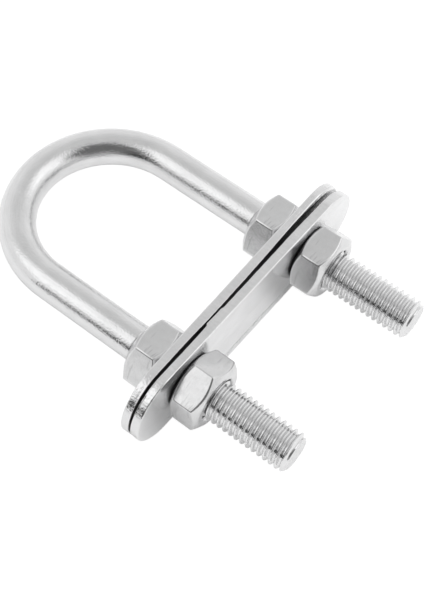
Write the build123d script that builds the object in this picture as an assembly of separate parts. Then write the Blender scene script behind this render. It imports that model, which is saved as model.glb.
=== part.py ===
from build123d import *
import math
import os

# U-bolt, M8 size: a bent rod, two clamp plates and four hex nuts. Millimetres.
# X runs along the legs towards the threaded ends, Y from the near leg to the far leg, Z up.
# The origin is midway between the legs and midway between the two plates.

# rod
LEG_SPACING = 36.1
SHANK_D = 7.3
BEND_CENTRE_X = -31.4
NEAR_LEG_END_X = 25.7
FAR_LEG_END_X = 27.0

# M8 thread on both legs, held here as its outer cylinder with a run-out cone and a chamfered tip
THREAD_D = 8.0
THREAD_START_X = -9.3
LEG_END_D = 6.4

# clamp plates, stamped with full-round ends, set a little askew to each other
PLATE_LENGTH = 65.0
PLATE_WIDTH = 16.8
PLATE_THICKNESS = 1.8
PLATE_HOLE_D = 9.0
PLATE_EDGE_R = 0.25
PLATE_CENTRE_X = 1.263
INNER_PLATE_SKEW = 0.34
OUTER_PLATE_SKEW = 0.52

# hex nuts, chamfered on both faces
NUT_ACROSS_FLATS = 12.8
NUT_HEIGHT = 6.5
NUT_FACE_D = 11.6
NUT_BORE_D = 8.2
NUT_COUNTERSINK_D = 8.7
NUT_CHAMFER_R = 13.2  # the corner chamfers are spherical, falling near 30 degrees at the flats
SEAT_GAP = 0.01

LEG_Y = LEG_SPACING / 2
NUT_CORNER_R = NUT_ACROSS_FLATS / 2 / math.cos(math.radians(30))


def across_x(x, y):
    """A plane square to X, its own X along Y and its own Y along Z."""
    return Plane(origin=(x, y, 0), x_dir=(0, 1, 0), z_dir=(1, 0, 0))


def along_x(radius, start, end, y):
    """A cylinder parallel to X."""
    return extrude(across_x(start, y) * Circle(radius), end - start)


def make_rod():
    """The bent rod with its two threaded legs."""
    near_start = (THREAD_START_X, -LEG_Y)
    near_bend = (BEND_CENTRE_X, -LEG_Y)
    far_bend = (BEND_CENTRE_X, LEG_Y)
    far_start = (THREAD_START_X, LEG_Y)
    path = Line(near_start, near_bend)
    path += ThreePointArc(near_bend, (BEND_CENTRE_X - LEG_Y, 0), far_bend)
    path += Line(far_bend, far_start)
    mouth = Plane(origin=(THREAD_START_X, -LEG_Y, 0), x_dir=(0, 1, 0), z_dir=(-1, 0, 0))
    rod = sweep(mouth * Circle(SHANK_D / 2), path=path)
    for y, end in ((-LEG_Y, NEAR_LEG_END_X), (LEG_Y, FAR_LEG_END_X)):
        leg = along_x(THREAD_D / 2, THREAD_START_X, end, y)
        leg = chamfer(leg.edges().group_by(Axis.X)[-1], (THREAD_D - LEG_END_D) / 2)
        leg = chamfer(leg.edges().group_by(Axis.X)[0], (THREAD_D - SHANK_D) / 2)
        rod += leg
    return rod.solid()


def make_plate(centre_x, skew):
    """A clamp plate with two leg holes, turned a little about Z."""
    outline = across_x(-PLATE_THICKNESS / 2, 0) * SlotOverall(PLATE_LENGTH, PLATE_WIDTH)
    plate = extrude(outline, PLATE_THICKNESS)
    plate = fillet(plate.edges().filter_by(Axis.X, reverse=True), PLATE_EDGE_R)
    for y in (-LEG_Y, LEG_Y):
        plate -= along_x(PLATE_HOLE_D / 2, -PLATE_THICKNESS, PLATE_THICKNESS, y)
    return (Pos(centre_x, 0, 0) * Rot(0, 0, skew) * plate).solid()


def make_nut(y, rear_x, corner_angle):
    """A hex nut on a leg, its bore a running fit over the leg's outer cylinder."""
    front_x = rear_x + NUT_HEIGHT
    hexagon = RegularPolygon(NUT_CORNER_R, 6, rotation=corner_angle)
    nut = extrude(across_x(rear_x, y) * hexagon, NUT_HEIGHT)
    reach = math.sqrt(NUT_CHAMFER_R**2 - (NUT_FACE_D / 2) ** 2)
    for centre_x, half_turn in ((front_x - reach, 180), (rear_x + reach, 0)):
        nut &= Pos(centre_x, y, 0) * Rot(0, 0, half_turn) * Sphere(NUT_CHAMFER_R)
    sink_r = NUT_COUNTERSINK_D / 2 + 1
    depth = sink_r - NUT_BORE_D / 2
    for face_x, inward in ((rear_x, 1), (front_x, -1)):
        mouth = Plane(origin=(face_x - inward, y, 0), x_dir=(0, 1, 0), z_dir=(inward, 0, 0))
        seat = (Align.CENTER, Align.CENTER, Align.MIN)
        nut -= mouth.location * Cone(sink_r, NUT_BORE_D / 2, depth, align=seat)
    nut -= along_x(NUT_BORE_D / 2, rear_x - 1, front_x + 1, y)
    return nut.solid()


def seat_x(side, skew, y):
    """The X of a nut face that just clears its skewed plate."""
    lean = math.tan(math.radians(skew))
    surface = PLATE_CENTRE_X + PLATE_THICKNESS / 2
    return side * (surface + lean * y + lean * NUT_FACE_D / 2 + SEAT_GAP)


near_inner_x = seat_x(-1, INNER_PLATE_SKEW, -LEG_Y) - NUT_HEIGHT
far_inner_x = seat_x(-1, INNER_PLATE_SKEW, LEG_Y) - NUT_HEIGHT
near_outer_x = seat_x(1, OUTER_PLATE_SKEW, -LEG_Y)
far_outer_x = seat_x(1, OUTER_PLATE_SKEW, LEG_Y)

nodes = {
    "u_rod": make_rod(),
    "inner_plate": make_plate(-PLATE_CENTRE_X, INNER_PLATE_SKEW),
    "outer_plate": make_plate(PLATE_CENTRE_X, -OUTER_PLATE_SKEW),
    "near_inner_nut": make_nut(-LEG_Y, near_inner_x, 0),
    "far_inner_nut": make_nut(LEG_Y, far_inner_x, 2),
    "near_outer_nut": make_nut(-LEG_Y, near_outer_x, 33),
    "far_outer_nut": make_nut(LEG_Y, far_outer_x, 9),
}

os.makedirs("parts", exist_ok=True)
for name, solid in nodes.items():
    solid.label = name
    export_step(solid, f"parts/{name}.step")
    box = solid.bounding_box()
    print(name, round(solid.volume, 1), tuple(box.min), tuple(box.max))
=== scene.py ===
import math
import bpy
import bmesh
import numpy as np
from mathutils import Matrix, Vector
from mathutils.geometry import tessellate_polygon


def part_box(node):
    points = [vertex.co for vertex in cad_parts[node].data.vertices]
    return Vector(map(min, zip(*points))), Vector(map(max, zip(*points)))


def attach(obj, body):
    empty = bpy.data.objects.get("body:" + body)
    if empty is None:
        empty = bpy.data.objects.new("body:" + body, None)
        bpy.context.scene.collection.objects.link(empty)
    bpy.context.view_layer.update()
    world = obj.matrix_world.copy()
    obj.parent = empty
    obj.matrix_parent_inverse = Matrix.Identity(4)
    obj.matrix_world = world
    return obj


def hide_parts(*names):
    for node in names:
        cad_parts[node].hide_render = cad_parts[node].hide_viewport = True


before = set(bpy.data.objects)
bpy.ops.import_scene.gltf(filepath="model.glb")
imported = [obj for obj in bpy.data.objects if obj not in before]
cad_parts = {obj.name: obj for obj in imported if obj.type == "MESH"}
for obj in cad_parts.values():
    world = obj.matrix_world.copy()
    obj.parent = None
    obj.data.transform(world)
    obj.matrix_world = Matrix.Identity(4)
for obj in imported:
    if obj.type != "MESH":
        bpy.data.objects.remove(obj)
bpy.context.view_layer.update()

# Lengths on the object are millimetres, in the frame's axes: X along the legs to their threaded ends,
# Y from the near leg to the far leg, Z up. MM turns them into Blender's metres.
MM = 0.001

# rod; a side is -1 for the near leg and 1 for the far leg
LEG_Y = 18.05
BEND_CENTRE_X = -31.4
LEG_END_X = {-1: 25.7, 1: 27.0}
SHANK_R = 3.65
BEND_FLATTENING = 0.008
ROD_RING = 96
ROD_UV_ROUND = 2 * math.pi * 3.8
BEND_STATIONS = 96
PLAIN_STATIONS = 40
PLAIN_LEAD = 0.2

# thread
CREST_R = 4.0
ROOT_R = 3.36
CREST_HALF_WIDTH = 0.06
FLANK_END = 0.47
FLANK_STRAIGHT = 0.55
PITCH = 1.25
STATIONS_PER_TURN = 20
THREAD_START_X = -9.3
RUN_OUT = 0.3
THREAD_STATIONS_MARGIN = 0.35
THREAD_SHEEN_MARGIN = 0.2

# leg tips: a 45 degree chamfer down to TIP_R, rounded over into the end face
TIP_R = 3.18
TIP_FACE_R = 3.06
TIP_ROUND = 0.25
TIP_BULGE = 0.9
TIP_STEPS = (0.0, 0.02, 0.06, 0.12, 0.2)
TIP_LENGTH = 0.26
END_FACE_RINGS = (0.85, 0.55, 0.25)

# nuts
NUT_H = 6.5
NUT_AF = 12.8
NUT_FACE_R = 5.6
NUT_BORE_R = 4.14
NUT_SINK_R = 4.5
NUT_SINK_DEPTH = 0.55
NUT_CHAMFER = 0.70
NUT_EDGE = 0.25
NUT_EDGE_SEGMENTS = 4
NUT_EDGE_MIN_DEG = 18
NUT_POINTS_PER_SIDE = 20
NUT_UV_STEP = 0.37
NUT_UV_RUN = (0, 0.7, 1.3, 1.2, 4.6, 1.2, 1.3, 0.7, 5.4)
NUT_CORNER_DEG = {"near_inner_nut": 0, "far_inner_nut": 2, "near_outer_nut": 33, "far_outer_nut": 9}

# plates
PLATE_L = 65.0
PLATE_W = 16.8
PLATE_T = 1.8
PLATE_CENTRE_X = 1.263
PLATE_ROLL = 0.24
PLATE_BURR = 0.07
EDGE_RIDGE = 0.0025
END_RIDGE = 0.0085
TEAR_DEPTH = 0.05
ROLL_WEAR = 0.03
BURR_WEAR = 0.02
BURR_FINE_WEAR = 0.015
BURR_RAGGEDNESS = 0.03
LIP_SHARE = 0.6
FACE_INSETS = (0.5, 1.2, 2.5)
INNER_PLATE_SKEW = 0.34
OUTER_PLATE_SKEW = -0.52
# the gap's wear: it fades between these Z, and the rounding grows between these Y
GAP_WEAR_Z = (-6.0, 2.0)
FAR_ROUND_Y = (10.0, 26.0)
# (y, how far the edge leans into the gap); the outer plate has a nick between -11.3 and -6.4
INNER_GAP = (
    (-33, -0.12), (-16, -0.12), (-12, -0.02), (-9, 0.06), (2, 0.02), (9, -0.10), (14, -0.24), (19, -0.24),
    (25, -0.10), (33, 0),
)
OUTER_GAP = (
    (-33, -0.14), (-16, -0.14), (-12, -0.06), (-11.3, -0.04), (-11.0, 0.24), (-6.8, 0.18), (-6.4, 0.02),
    (3, 0.08), (9, 0.12), (15, 0.2), (22, 0.12), (33, 0),
)
HOLE_R = 4.5
HOLE_CHAMFER = 0.12
HOLE_POINTS = 72
HOLE_UV_STEP = 0.4

# ground, just under the plates' lower edges
FLOOR_Z = -8.42
TABLE_DROP = 0.02
GROUND_HALF = 1200

# studio and camera, in metres and degrees
DOME_R = 0.95
SOFTBOX_DISTANCE = 0.8
CAMERA_PLACE = (0.06433, -0.10814, 0.20216)
CAMERA_TURN = (31.981, -2.791, 37.685)
CAMERA_SENSOR_MM = 36.0
CAMERA_LENS_MM = 76.62


# ---------------------------------------------------------------- mesh helpers

def smoothstep(a, b, x):
    """0 up to a, 1 from b, smooth between them."""
    t = np.clip((x - a) / (b - a), 0, 1)
    return t * t * (3 - 2 * t)


def waves(seed, scale, octaves=4):
    """A smooth 1-D noise, about -1 to 1, as a function of length."""
    rng = np.random.default_rng(seed)
    parts = [(rng.uniform(0.6, 1.6) * 2 ** k / scale, rng.uniform(0, 6.28), 0.6 ** k) for k in range(octaves)]
    total = sum(p[2] for p in parts)
    return lambda s: sum(a * np.sin(6.28 * f * s + p) for f, p, a in parts) / total


def circle_angles(n):
    return np.arange(n) * 2 * math.pi / n


def loop_pairs(n):
    """Each place round a closed loop of n points with the next one."""
    return [(j, (j + 1) % n) for j in range(n)]


class Skin:
    """Faces with a material number each and a UV for each corner, gathered bit by bit."""

    def __init__(self):
        self.faces = []
        self.uvs = []
        self.materials = []

    def add(self, corners, uvs, material=0):
        self.faces.append(tuple(corners))
        self.uvs += uvs
        self.materials.append(material)

    def turn_over(self):
        """Reverse every face, for vertices that have been mirrored."""
        turned_uvs = []
        at = 0
        for face in self.faces:
            turned_uvs += reversed(self.uvs[at:at + len(face)])
            at += len(face)
        self.faces = [tuple(reversed(face)) for face in self.faces]
        self.uvs = turned_uvs


def mesh_object(name, verts, skin, mats):
    """A smooth-shaded object from vertices in millimetres and a skin."""
    me = bpy.data.meshes.new(name)
    me.from_pydata([tuple(v) for v in np.asarray(verts) * MM], [], skin.faces)
    layer = me.uv_layers.new(name="UVMap")
    layer.data.foreach_set("uv", np.asarray(skin.uvs, np.float32).ravel())
    for mat in mats:
        me.materials.append(mat)
    me.polygons.foreach_set("material_index", skin.materials)
    me.polygons.foreach_set("use_smooth", [True] * len(me.polygons))
    me.validate()
    me.update()
    return link(bpy.data.objects.new(name, me))


def link(ob):
    bpy.context.scene.collection.objects.link(ob)
    return ob


def weight_normals(ob):
    """Let the large faces set the shading, so that they look flat."""
    modifier = ob.modifiers.new("normals", "WEIGHTED_NORMAL")
    modifier.weight = 90
    modifier.keep_sharp = False


# ---------------------------------------------------------------- rod

def thread_radius(x, phi):
    """Radius of the rolled thread at x and angle phi (from +Y towards +Z), crests and roots rounded."""
    turn = (x - THREAD_START_X) / PITCH - phi / (2 * math.pi)
    d = np.abs(turn - np.round(turn)) * PITCH
    t = np.clip((d - CREST_HALF_WIDTH) / (FLANK_END - CREST_HALF_WIDTH), 0, 1)
    soft = t * t * (3 - 2 * t)
    return CREST_R - (CREST_R - ROOT_R) * (FLANK_STRAIGHT * t + (1 - FLANK_STRAIGHT) * soft)


def leg_stations(side):
    """X of the rings along a leg, from its tip back to the bend."""
    end = LEG_END_X[side]
    tip = end - np.array(TIP_STEPS)
    last = THREAD_START_X - THREAD_STATIONS_MARGIN
    threaded = np.arange(end - TIP_LENGTH, last, -PITCH / STATIONS_PER_TURN)
    plain = np.linspace(threaded[-1] - PLAIN_LEAD, BEND_CENTRE_X, PLAIN_STATIONS)
    return np.concatenate([tip, threaded, plain])


def leg_ring(x, side):
    """Centre, inward direction and radii of a ring on a leg."""
    ang = circle_angles(ROD_RING)
    r = np.full(ROD_RING, SHANK_R)
    if x > THREAD_START_X - RUN_OUT:
        phi = ang if side < 0 else math.pi - ang
        k = smoothstep(THREAD_START_X - RUN_OUT, THREAD_START_X + RUN_OUT, x)
        r = SHANK_R * (1 - k) + thread_radius(x, phi) * k
    back = LEG_END_X[side] - x
    r = np.minimum(r, TIP_R + back)
    if back < TIP_ROUND:
        bulge = math.sqrt(max(0.0, TIP_ROUND ** 2 - (TIP_ROUND - back) ** 2))
        r = np.minimum(r, TIP_FACE_R + bulge * TIP_BULGE)
    return np.array([x, side * LEG_Y, 0.0]), np.array([0.0, -side, 0.0]), r


def bend_ring(turned):
    """The same on the bend, at an angle from the near leg; a bent rod flattens a touch."""
    away, along = math.sin(turned), math.cos(turned)
    centre = np.array([BEND_CENTRE_X - LEG_Y * away, -LEG_Y * along, 0.0])
    r = SHANK_R * (1 - BEND_FLATTENING * away * np.cos(circle_angles(ROD_RING)) ** 2)
    return centre, np.array([away, along, 0.0]), r


def rod_mesh(mats):
    """The bent rod from the near tip round to the far tip. Materials: rod, thread, end faces."""
    stations = [leg_ring(x, -1) for x in leg_stations(-1)]
    stations += [bend_ring(math.pi * k / BEND_STATIONS) for k in range(1, BEND_STATIONS)]
    stations += [leg_ring(x, 1) for x in leg_stations(1)[::-1]]
    n = ROD_RING
    ang = circle_angles(n)
    up = np.array([0.0, 0.0, 1.0])
    rings = []
    for centre, inward, r in stations:
        rings.append(centre + r[:, None] * (np.cos(ang)[:, None] * inward + np.sin(ang)[:, None] * up))
    lengths = [0.0]
    for a, b in zip(stations, stations[1:]):
        lengths.append(lengths[-1] + float(np.linalg.norm(b[0] - a[0])))

    skin = Skin()
    for i in range(len(rings) - 1):
        threaded = stations[i][0][0] > THREAD_START_X - THREAD_SHEEN_MARGIN
        s0, s1 = lengths[i], lengths[i + 1]
        for j, k in loop_pairs(n):
            v0, v1 = ROD_UV_ROUND * j / n, ROD_UV_ROUND * (j + 1) / n
            corners = (i * n + j, i * n + k, (i + 1) * n + k, (i + 1) * n + j)
            skin.add(corners, [(s0, v0), (s0, v1), (s1, v1), (s1, v0)], int(threaded))

    verts = list(np.concatenate(rings))
    for ring, side in ((0, -1), (len(rings) - 1, 1)):
        close_tip(verts, skin, ring * n, side)
    return mesh_object("u_rod_steel", verts, skin, mats)


def close_tip(verts, skin, first, side):
    """The end face of a leg: a few rings inside the rim, then a fan to the centre."""
    n = ROD_RING
    centre = np.array([LEG_END_X[side], side * LEG_Y, 0.0])
    rim = verts[first:first + n]
    outer = [first + j for j in range(n)]
    for share in END_FACE_RINGS:
        inner = [len(verts) + j for j in range(n)]
        verts += [centre + (q - centre) * share for q in rim]
        for j, k in loop_pairs(n):
            corners = (outer[j], inner[j], inner[k], outer[k])
            if side > 0:
                corners = (outer[j], outer[k], inner[k], inner[j])
            skin.add(corners, [(verts[q][1], verts[q][2]) for q in corners], 2)
        outer = inner
    middle = len(verts)
    verts.append(centre)
    for j, k in loop_pairs(n):
        corners = (outer[j], middle, outer[k])
        if side > 0:
            corners = (outer[j], outer[k], middle)
        skin.add(corners, [(verts[q][1], verts[q][2]) for q in corners], 2)


# ---------------------------------------------------------------- nuts

def nut_mesh(name, y, rear, corner_deg, mats):
    """A hex nut from a closed section: up the rear face, over the flats, down the front face and the bore."""
    n = NUT_POINTS_PER_SIDE * 6
    first = math.radians(corner_deg)
    ang = first + circle_angles(n)
    from_flat = np.mod(ang - first, math.pi / 3) - math.pi / 6
    hex_r = NUT_AF / 2 / np.cos(from_flat)
    drop = (hex_r - NUT_FACE_R) * NUT_CHAMFER
    one = np.ones(n)
    half = [
        (NUT_SINK_DEPTH * one, NUT_BORE_R * one),
        (0.0 * one, NUT_SINK_R * one),
        (0.0 * one, NUT_FACE_R * one),
        (drop, hex_r),
    ]
    section = half + [(NUT_H - depth, r) for depth, r in reversed(half)]
    verts = [np.stack([rear + depth, y + r * np.cos(ang), r * np.sin(ang)], 1) for depth, r in section]
    skin = Skin()
    run = np.cumsum(NUT_UV_RUN)
    for i, i2 in loop_pairs(len(section)):
        for j, k in loop_pairs(n):
            u0, u1 = NUT_UV_STEP * j, NUT_UV_STEP * (j + 1)
            corners = (i * n + j, i2 * n + j, i2 * n + k, i * n + k)
            skin.add(corners, [(u0, run[i]), (u0, run[i + 1]), (u1, run[i + 1]), (u1, run[i])])
    ob = mesh_object(name, np.concatenate(verts), skin, mats)
    bevel = ob.modifiers.new("edge", "BEVEL")
    bevel.width = NUT_EDGE * MM
    bevel.segments = NUT_EDGE_SEGMENTS
    bevel.limit_method = "ANGLE"
    bevel.angle_limit = math.radians(NUT_EDGE_MIN_DEG)
    bevel.use_clamp_overlap = True
    weight_normals(ob)
    return ob


# ---------------------------------------------------------------- plates

def stadium(m_straight=400, m_end=230):
    """Outline points (y, z), outward normals and running length, counter-clockwise."""
    r = PLATE_W / 2
    h = PLATE_L / 2 - r
    pts, nrm = [], []
    for side in (1, -1):
        for y in np.linspace(side * h, -side * h, m_straight, endpoint=False):
            pts.append((y, side * r))
            nrm.append((0, side))
        for a in np.linspace(side * math.pi / 2, side * math.pi / 2 + math.pi, m_end, endpoint=False):
            pts.append((-side * h + r * math.cos(a), r * math.sin(a)))
            nrm.append((math.cos(a), math.sin(a)))
    pts, nrm = np.array(pts), np.array(nrm)
    step = np.linalg.norm(np.roll(pts, -1, 0) - pts, axis=1)
    return pts, nrm, np.concatenate([[0], np.cumsum(step)])


def edge_profile():
    """Rings of (inset, x, zone) from the outer face over the sheared edge to the face at the gap."""
    t = PLATE_T / 2
    profile = [(inset, -t, "face") for inset in reversed(FACE_INSETS)]
    for a in np.linspace(0, math.pi / 2, 6):
        profile.append((PLATE_ROLL * (1 - math.sin(a)), -t + PLATE_ROLL * (1 - math.cos(a)), "roll"))
    for x in np.linspace(-t + PLATE_ROLL + 0.12, t - PLATE_BURR - 0.10, 5):
        profile.append((0.0, x, "torn"))
    for a in np.linspace(0, math.pi / 2, 4):
        profile.append((PLATE_BURR * (1 - math.cos(a)), t - PLATE_BURR + PLATE_BURR * math.sin(a), "burr"))
    profile.append((FACE_INSETS[0], t, "lip"))
    return profile + [(inset, t, "face") for inset in FACE_INSETS[1:]]


def plate_rings(profile, seed, gap_edge, far_round):
    """The profile's rings round the plate, worn and torn, and the outline's running length."""
    pts, nrm, run = stadium()
    t = PLATE_T / 2
    s = run[:-1]
    # wear along the outline at three wavelengths
    slow = waves(seed, 22.0)(s)
    mid = waves(seed + 5, 7.0)(s)
    fast = waves(seed + 9, 1.6, 5)(s)
    # the shear leaves fine ridges across the edge, stronger round the ends
    ridge = np.random.default_rng(seed + 3).normal(0, 1, len(pts))
    ridge = sum(np.roll(ridge, k) for k in (-1, 0, 1)) / math.sqrt(3)
    at_end = smoothstep(PLATE_L / 2 - PLATE_W / 2 - 2, PLATE_L / 2, np.abs(pts[:, 0]))
    ridge = ridge * (EDGE_RIDGE + END_RIDGE * at_end)
    # the edge at the gap is nearly sharp, and rounds off towards the far end; both fade below mid height
    upper = smoothstep(*GAP_WEAR_Z, pts[:, 1])
    gap_round = PLATE_BURR + far_round * smoothstep(*FAR_ROUND_Y, pts[:, 0]) * upper
    ys, into_gap = zip(*gap_edge)
    lip = np.interp(pts[:, 0], ys, into_gap) * upper
    rings = []
    for inset, x, zone in profile:
        dx = 0 * s
        di = inset + 0 * s
        if zone == "roll":
            di = inset * (1 + 0.25 * slow)
            dx = ROLL_WEAR * mid * (1 - (x + t) / PLATE_ROLL)
            dx = np.maximum(dx, 0)
        if zone == "torn":
            # the torn part of the edge leans in a little
            tear = smoothstep(0.1, t, x) * TEAR_DEPTH
            di = di + tear * (1 + 0.5 * mid) + ridge * smoothstep(-t + PLATE_ROLL, -t + PLATE_ROLL + 0.5, x)
            dx = lip * smoothstep(-0.2, t, x) + (PLATE_BURR - gap_round) * smoothstep(-t, t, x)
        if zone == "burr":
            share = gap_round / PLATE_BURR
            dx = lip + BURR_WEAR * mid + BURR_FINE_WEAR * fast + (x - t) * (share - 1)
            di = inset * share + BURR_RAGGEDNESS * (1 + fast) * 0.5
        if zone == "lip":
            dx = lip * LIP_SHARE
        yz = pts - nrm * np.clip(di, 0.0, None)[:, None]
        rings.append(np.stack([x + dx, yz[:, 0], yz[:, 1]], 1))
    return rings, run


def hole_walls(verts, skin):
    """Both leg holes, with small chamfers; gives back their rims on the two faces."""
    t = PLATE_T / 2
    rims = ([], [])
    steps = (
        (-t, HOLE_R + HOLE_CHAMFER),
        (-t + HOLE_CHAMFER, HOLE_R),
        (t - HOLE_CHAMFER, HOLE_R),
        (t, HOLE_R + HOLE_CHAMFER),
    )
    for y in (-LEG_Y, LEG_Y):
        loops = []
        for x, r in steps:
            loops.append([len(verts) + j for j in range(HOLE_POINTS)])
            verts += [np.array([x, y + r * math.cos(a), r * math.sin(a)]) for a in circle_angles(HOLE_POINTS)]
        rims[0].append(loops[0])
        rims[1].append(loops[-1])
        for a, b in zip(loops, loops[1:]):
            for j, k in loop_pairs(HOLE_POINTS):
                u0, u1 = HOLE_UV_STEP * j, HOLE_UV_STEP * (j + 1)
                skin.add((a[j], b[j], b[k], a[k]), [(u0, 0), (u0, 1), (u1, 1), (u1, 0)], 1)
    return rims


def plate_face(verts, skin, outer, rims, side):
    """One flat face, triangulated round its holes; side 0 is the outer face and 1 the face at the gap."""
    loops = [outer] + [list(reversed(rim)) for rim in rims]
    ids = [q for loop in loops for q in loop]
    for tri in tessellate_polygon([[Vector((verts[q][1], verts[q][2], 0)) for q in loop] for loop in loops]):
        corners = [ids[q] for q in tri]
        a, b, c = (np.array(verts[q]) for q in corners)
        normal_x = np.cross(b - a, c - a)[0]
        if (normal_x > 0) != (side == 1):
            corners = corners[::-1]
        skin.add(corners, [(verts[q][1], verts[q][2]) for q in corners], 2 * side)


def plate_mesh(name, centre_x, skew_deg, seed, gap_edge, far_round, mats):
    """A punched plate: rolled edge outside, torn burr edge towards the gap. Materials: face, edge, inside;
    the inside faces at the gap are painted darker, as the shade between the plates.
    far_round rounds the edge at the gap off at the far end."""
    t = PLATE_T / 2
    profile = edge_profile()
    rings, run = plate_rings(profile, seed, gap_edge, far_round)
    m = len(rings[0])
    verts = list(np.concatenate(rings))
    skin = Skin()
    flat = ("face", "lip")
    # faces on the gap side take material 2, steel painted darker as the shade between the plates
    for i, (a, b) in enumerate(zip(profile, profile[1:])):
        on_edge = a[2] not in flat and b[2] not in flat
        v0 = a[1] + t - a[0]
        v1 = b[1] + t + (b[0] if b[2] == "burr" else -b[0])
        for j, k in loop_pairs(m):
            corners = (i * m + j, i * m + k, (i + 1) * m + k, (i + 1) * m + j)
            if on_edge:
                skin.add(corners, [(run[j], v0), (run[j + 1], v0), (run[j + 1], v1), (run[j], v1)], 1)
            else:
                skin.add(corners, [(verts[q][1], verts[q][2]) for q in corners], 0 if b[1] < 0 else 2)
    rims = hole_walls(verts, skin)
    for side, ring in ((0, 0), (1, len(profile) - 1)):
        plate_face(verts, skin, [ring * m + j for j in range(m)], rims[side], side)
    verts = np.array(verts)
    if centre_x > 0:
        # the outer plate is the same blank turned over, so that both torn edges meet at the gap
        verts[:, 0] *= -1
        skin.turn_over()
    cos_skew, sin_skew = math.cos(math.radians(skew_deg)), math.sin(math.radians(skew_deg))
    x, y = verts[:, 0].copy(), verts[:, 1].copy()
    verts[:, 0] = centre_x + cos_skew * x - sin_skew * y
    verts[:, 1] = sin_skew * x + cos_skew * y
    ob = mesh_object(name, verts, skin, mats)
    weight_normals(ob)
    return ob


# ---------------------------------------------------------------- shader helpers

def add_node(nt, kind, inputs):
    """A node whose inputs are set to values, or linked where the value is another node's output."""
    node = nt.nodes.new(kind)
    for key, value in inputs.items():
        if isinstance(value, bpy.types.NodeSocket):
            nt.links.new(value, node.inputs[key])
        else:
            node.inputs[key].default_value = value
    return node


def noise(nt, vector, scale, detail, roughness=0.5):
    inputs = {"Vector": vector, "Scale": scale, "Detail": detail, "Roughness": roughness}
    return add_node(nt, "ShaderNodeTexNoise", inputs).outputs["Fac"]


def remap(nt, value, source, target):
    """A node that turns one range of a value into another, held at both ends."""
    ends = {"From Min": source[0], "From Max": source[1], "To Min": target[0], "To Max": target[1]}
    return add_node(nt, "ShaderNodeMapRange", {"Value": value, **ends})


def combine(nt, operation, a, b):
    node = add_node(nt, "ShaderNodeMath", {0: a, 1: b})
    node.operation = operation
    return node.outputs[0]


def bump_from(nt, height, strength, depth, under):
    """A bump of a depth in millimetres; under can link the normal of another bump below it."""
    inputs = {"Height": height, "Strength": strength, "Distance": depth * MM, **under}
    return add_node(nt, "ShaderNodeBump", inputs).outputs[0]


# ---------------------------------------------------------------- steel

# the part of each noise's range that is read, from its low end to its high end
STREAK_BAND = (0.25, 0.75)
PATCH_BAND = (0.3, 0.7)
SPECK_BAND = (0.60, 0.72)
SCRATCH_BAND = (0.66, 0.70)
PATCH_TONE = (0.93, 1.02)
# scratches in two directions: radians turned, and where each noise starts
SCRATCH_RUNS = ((0.6, 3.0), (-0.9, 11.0))
SCRATCH_STRETCH = (0.16, 2.2, 1.0)
BLUE_TINT = 1.005
FINE_BUMP = 0.04


def steel(name, base, rough, stretch, streak, bump, speck=0.0, rough_var=0.06, grain=0.0,
          grain_scale=3.0, grain_mm=0.03, scratch=0.0):
    """Bare steel: streaks of tone and roughness along one UV direction, worn patches, dark specks,
    fine crossing scratches, and a fine bump with a coarser grain over it."""
    mat = bpy.data.materials.new(name)
    mat.use_nodes = True
    nt = mat.node_tree
    nt.nodes.clear()
    uv = nt.nodes.new("ShaderNodeTexCoord").outputs["UV"]
    stretched = add_node(nt, "ShaderNodeMapping", {"Vector": uv, "Scale": stretch}).outputs[0]
    fine = noise(nt, stretched, scale=1.0, detail=6.0, roughness=0.65)
    patches = noise(nt, uv, scale=0.18, detail=4.0)
    streaks = remap(nt, fine, STREAK_BAND, (1.0 - streak, 1.0)).outputs[0]
    tone = combine(nt, "MULTIPLY", streaks, remap(nt, patches, PATCH_BAND, PATCH_TONE).outputs[0])
    if speck:
        spots = noise(nt, uv, scale=3.0, detail=8.0, roughness=0.8)
        darker = remap(nt, spots, SPECK_BAND, (1.0, 1.0 - speck)).outputs[0]
        tone = combine(nt, "MULTIPLY", tone, darker)
    if scratch:
        for turn, start in SCRATCH_RUNS:
            along = {"Rotation": (0, 0, turn), "Location": (start, start, 0), "Scale": SCRATCH_STRETCH}
            across = add_node(nt, "ShaderNodeMapping", {"Vector": uv, **along}).outputs[0]
            lines = noise(nt, across, scale=1.0, detail=2.0)
            darker = remap(nt, lines, SCRATCH_BAND, (1.0, 1.0 - scratch)).outputs[0]
            tone = combine(nt, "MULTIPLY", tone, darker)
    colour = add_node(nt, "ShaderNodeVectorMath", {0: (base, base, base * BLUE_TINT)})
    colour.operation = "SCALE"
    nt.links.new(tone, colour.inputs["Scale"])
    normal = bump_from(nt, fine, bump, FINE_BUMP, {})
    if grain:
        grains = noise(nt, uv, scale=grain_scale, detail=2.0)
        normal = bump_from(nt, grains, grain, grain_mm, {"Normal": normal})
    shader = add_node(nt, "ShaderNodeBsdfPrincipled", {
        "Metallic": 1.0,
        "Base Color": colour.outputs[0],
        "Roughness": remap(nt, fine, STREAK_BAND, (rough + rough_var, rough - rough_var)).outputs[0],
        "Normal": normal,
    })
    add_node(nt, "ShaderNodeOutputMaterial", {"Surface": shader.outputs[0]})
    return mat


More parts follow.
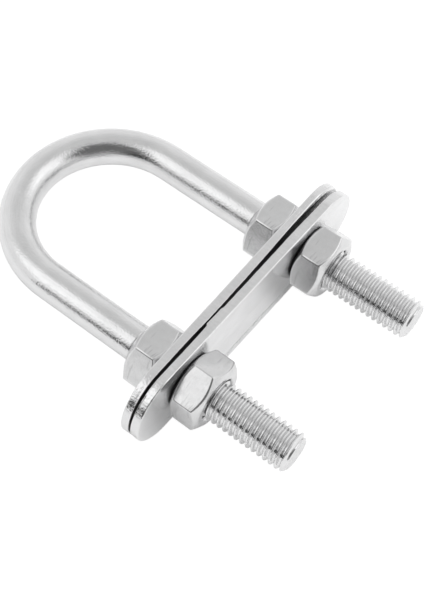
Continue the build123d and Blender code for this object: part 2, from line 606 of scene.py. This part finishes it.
rod_mat = steel("drawn_rod", base=0.81, rough=0.14, rough_var=0.04, stretch=(0.30, 5.0, 1.0), streak=0.10,
                bump=0.30, speck=0.10, grain=1.0, grain_scale=2.6, grain_mm=0.055)
thread_mat = steel("rolled_thread", base=0.82, rough=0.13, stretch=(4.0, 0.8, 1.0), streak=0.14,
                   bump=0.15, speck=0.14, grain=0.6, grain_scale=2.2, grain_mm=0.04)
end_mat = steel("leg_end", base=0.78, rough=0.32, stretch=(1.0, 3.0, 1.0), streak=0.12,
                bump=0.4, speck=0.2, grain=0.8, grain_scale=1.6)
face_mat = steel("plate_face", base=0.84, rough=0.25, rough_var=0.03, stretch=(0.25, 0.6, 1.0), streak=0.05,
                 bump=0.05, speck=0.06, scratch=0.06)
edge_mat = steel("sheared_edge", base=0.84, rough=0.16, stretch=(2.0, 0.25, 1.0), streak=0.09,
                 bump=0.5, speck=0.08, grain=1.0, grain_scale=2.0, grain_mm=0.06)
nut_mat = steel("nut_steel", base=0.76, rough=0.19, rough_var=0.04, stretch=(0.6, 0.7, 1.0), streak=0.06,
                bump=0.10, speck=0.10, grain=0.5, grain_scale=1.4, grain_mm=0.022, scratch=0.16)
# the faces inside the gap: a darker base colour that paints the shade between the plates, on rougher steel
gap_shade_mat = steel("plate_gap_painted_shade", base=0.60, rough=0.32, rough_var=0.03, stretch=(0.5, 0.9, 1.0), streak=0.10,
                 bump=0.10, speck=0.1)


# ---------------------------------------------------------------- pieces

rod = rod_mesh([rod_mat, thread_mat, end_mat])
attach(rod, "u_rod")
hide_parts("u_rod")

for node, centre_x, skew, seed, gap_edge, far_round in (
    ("inner_plate", -PLATE_CENTRE_X, INNER_PLATE_SKEW, 11, INNER_GAP, 0.42),
    ("outer_plate", PLATE_CENTRE_X, OUTER_PLATE_SKEW, 23, OUTER_GAP, 0.05),
):
    mats = [face_mat, edge_mat, gap_shade_mat]
    plate = plate_mesh(node + "_steel", centre_x, skew, seed, gap_edge, far_round, mats)
    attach(plate, node)
    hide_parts(node)

for node, corner_deg in NUT_CORNER_DEG.items():
    low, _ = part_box(node)
    side = -1 if node.startswith("near") else 1
    nut = nut_mesh(node + "_steel", side * LEG_Y, low.x / MM, corner_deg, [nut_mat])
    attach(nut, node)
    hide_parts(node)


# ---------------------------------------------------------------- ground

def ground(name, z, base, glow):
    """A square of pale ground that also gives off a little light."""
    me = bpy.data.meshes.new(name)
    half = GROUND_HALF * MM
    corners = [(x * half, y * half, z * MM) for x, y in ((-1, -1), (1, -1), (1, 1), (-1, 1))]
    me.from_pydata(corners, [], [(0, 1, 2, 3)])
    mat = bpy.data.materials.new(name + "_white")
    mat.use_nodes = True
    shader = mat.node_tree.nodes["Principled BSDF"]
    shader.inputs["Base Color"].default_value = (base, base, base, 1)
    shader.inputs["Roughness"].default_value = 0.9
    shader.inputs["Specular IOR Level"].default_value = 0.1
    shader.inputs["Emission Color"].default_value = (1, 1, 1, 1)
    shader.inputs["Emission Strength"].default_value = glow
    me.materials.append(mat)
    ob = link(bpy.data.objects.new(name, me))
    return ob


# the camera sees an evenly lit white floor; the steel mirrors a white table that takes the object's shadow
floor = ground("floor", FLOOR_Z, base=0.10, glow=0.98)
floor.visible_glossy = False
floor.visible_diffuse = False
floor.visible_shadow = False
table = ground("table", FLOOR_Z - TABLE_DROP, base=0.78, glow=0.19)
table.visible_camera = False


# ---------------------------------------------------------------- dome and lights

def direction(azimuth, elevation):
    a, el = math.radians(azimuth), math.radians(elevation)
    return Vector((math.cos(el) * math.cos(a), math.cos(el) * math.sin(a), math.sin(el)))


def towards(nt, unit, axis, source, target):
    """A smooth step on how far the dome's direction leans towards an axis."""
    dot = add_node(nt, "ShaderNodeVectorMath", {0: unit, 1: axis})
    dot.operation = "DOT_PRODUCT"
    step = remap(nt, dot.outputs["Value"], source, target)
    step.interpolation_type = "SMOOTHSTEP"
    return step.outputs[0]


def dome_material():
    """The light of a white room that is dark behind the camera, so that the steel has something to mirror."""
    mat = bpy.data.materials.new("dome_light")
    mat.use_nodes = True
    nt = mat.node_tree
    nt.nodes.clear()
    place_on_dome = nt.nodes.new("ShaderNodeTexCoord").outputs["Object"]
    unit = add_node(nt, "ShaderNodeVectorMath", {0: place_on_dome})
    unit.operation = "NORMALIZE"
    level = towards(nt, unit.outputs[0], (0, 0, 1), (0.35, 1.0), (0.92, 0.68))
    # round patches: azimuth, elevation, full inside this angle, gone outside this angle, level there
    for azimuth, elevation, inner, outer, value in (
        (-50, 6, 28, 48, 0.20),
        (-62, 36, 22, 37, 0.17),
        (-32, 46, 22, 37, 0.17),
        (-92, -1, 20, 30, 0.03),
        (-48, 12, 4, 16, 0.40),
    ):
        rim = (math.cos(math.radians(outer)), math.cos(math.radians(inner)))
        mask = towards(nt, unit.outputs[0], direction(azimuth, elevation), rim, (0.0, 1.0))
        change = combine(nt, "MULTIPLY", mask, combine(nt, "SUBTRACT", value, level))
        level = combine(nt, "ADD", level, change)
    glow = add_node(nt, "ShaderNodeEmission", {"Color": (1, 1, 1, 1), "Strength": level})
    add_node(nt, "ShaderNodeOutputMaterial", {"Surface": glow.outputs[0]})
    return mat


def make_dome():
    """A dome round the set, seen only in reflections."""
    bm = bmesh.new()
    bmesh.ops.create_uvsphere(bm, u_segments=96, v_segments=64, radius=DOME_R)
    me = bpy.data.meshes.new("dome")
    bm.to_mesh(me)
    bm.free()
    me.materials.append(dome_material())
    dome = link(bpy.data.objects.new("dome", me))
    dome.visible_camera = False
    dome.visible_shadow = False


def area(name, azimuth, elevation, distance, size, size_y, power):
    """A flat lamp that faces the object; the camera doesn't see it. Metres and watts."""
    away = direction(azimuth, elevation)
    light = bpy.data.lights.new(name, "AREA")
    light.shape = "RECTANGLE"
    light.size = size
    light.size_y = size_y
    light.energy = power
    ob = link(bpy.data.objects.new(name, light))
    ob.location = away * distance
    ob.rotation_euler = (-away).to_track_quat("-Z", "Y").to_euler()
    ob.visible_camera = False
    return ob


def softbox(name, azimuth, elevation, width, height, radiance):
    """A lamp whose width and height are degrees as the object sees it."""
    w, h = (2 * SOFTBOX_DISTANCE * math.tan(math.radians(v) / 2) for v in (width, height))
    area(name, azimuth, elevation, SOFTBOX_DISTANCE, w, h, radiance * math.pi * w * h)


world = bpy.data.worlds.new("studio")
bpy.context.scene.world = world
world.use_nodes = True
world.node_tree.nodes["Background"].inputs["Color"].default_value = (1, 1, 1, 1)
world.node_tree.nodes["Background"].inputs["Strength"].default_value = 1.0

make_dome()
softbox("key", azimuth=-132, elevation=50, width=37, height=39, radiance=0.44)
softbox("fill", azimuth=40, elevation=46, width=47, height=41, radiance=0.46)

# a soft overhead light for the table alone: the steel doesn't mirror it
overhead = area("overhead", azimuth=40, elevation=78, distance=0.27, size=0.20, size_y=0.20, power=0.38)
overhead.visible_glossy = False


# ---------------------------------------------------------------- camera

camera_data = bpy.data.cameras.new("camera")
camera_data.sensor_width = CAMERA_SENSOR_MM
camera_data.lens = CAMERA_LENS_MM
camera_data.clip_start = 0.01
camera_data.clip_end = 10.0
camera = link(bpy.data.objects.new("camera", camera_data))
camera.location = CAMERA_PLACE
camera.rotation_euler = [math.radians(turn) for turn in CAMERA_TURN]
bpy.context.scene.camera = camera
bpy.context.scene.view_settings.view_transform = "Standard"
bpy.context.scene.view_settings.look = "None"
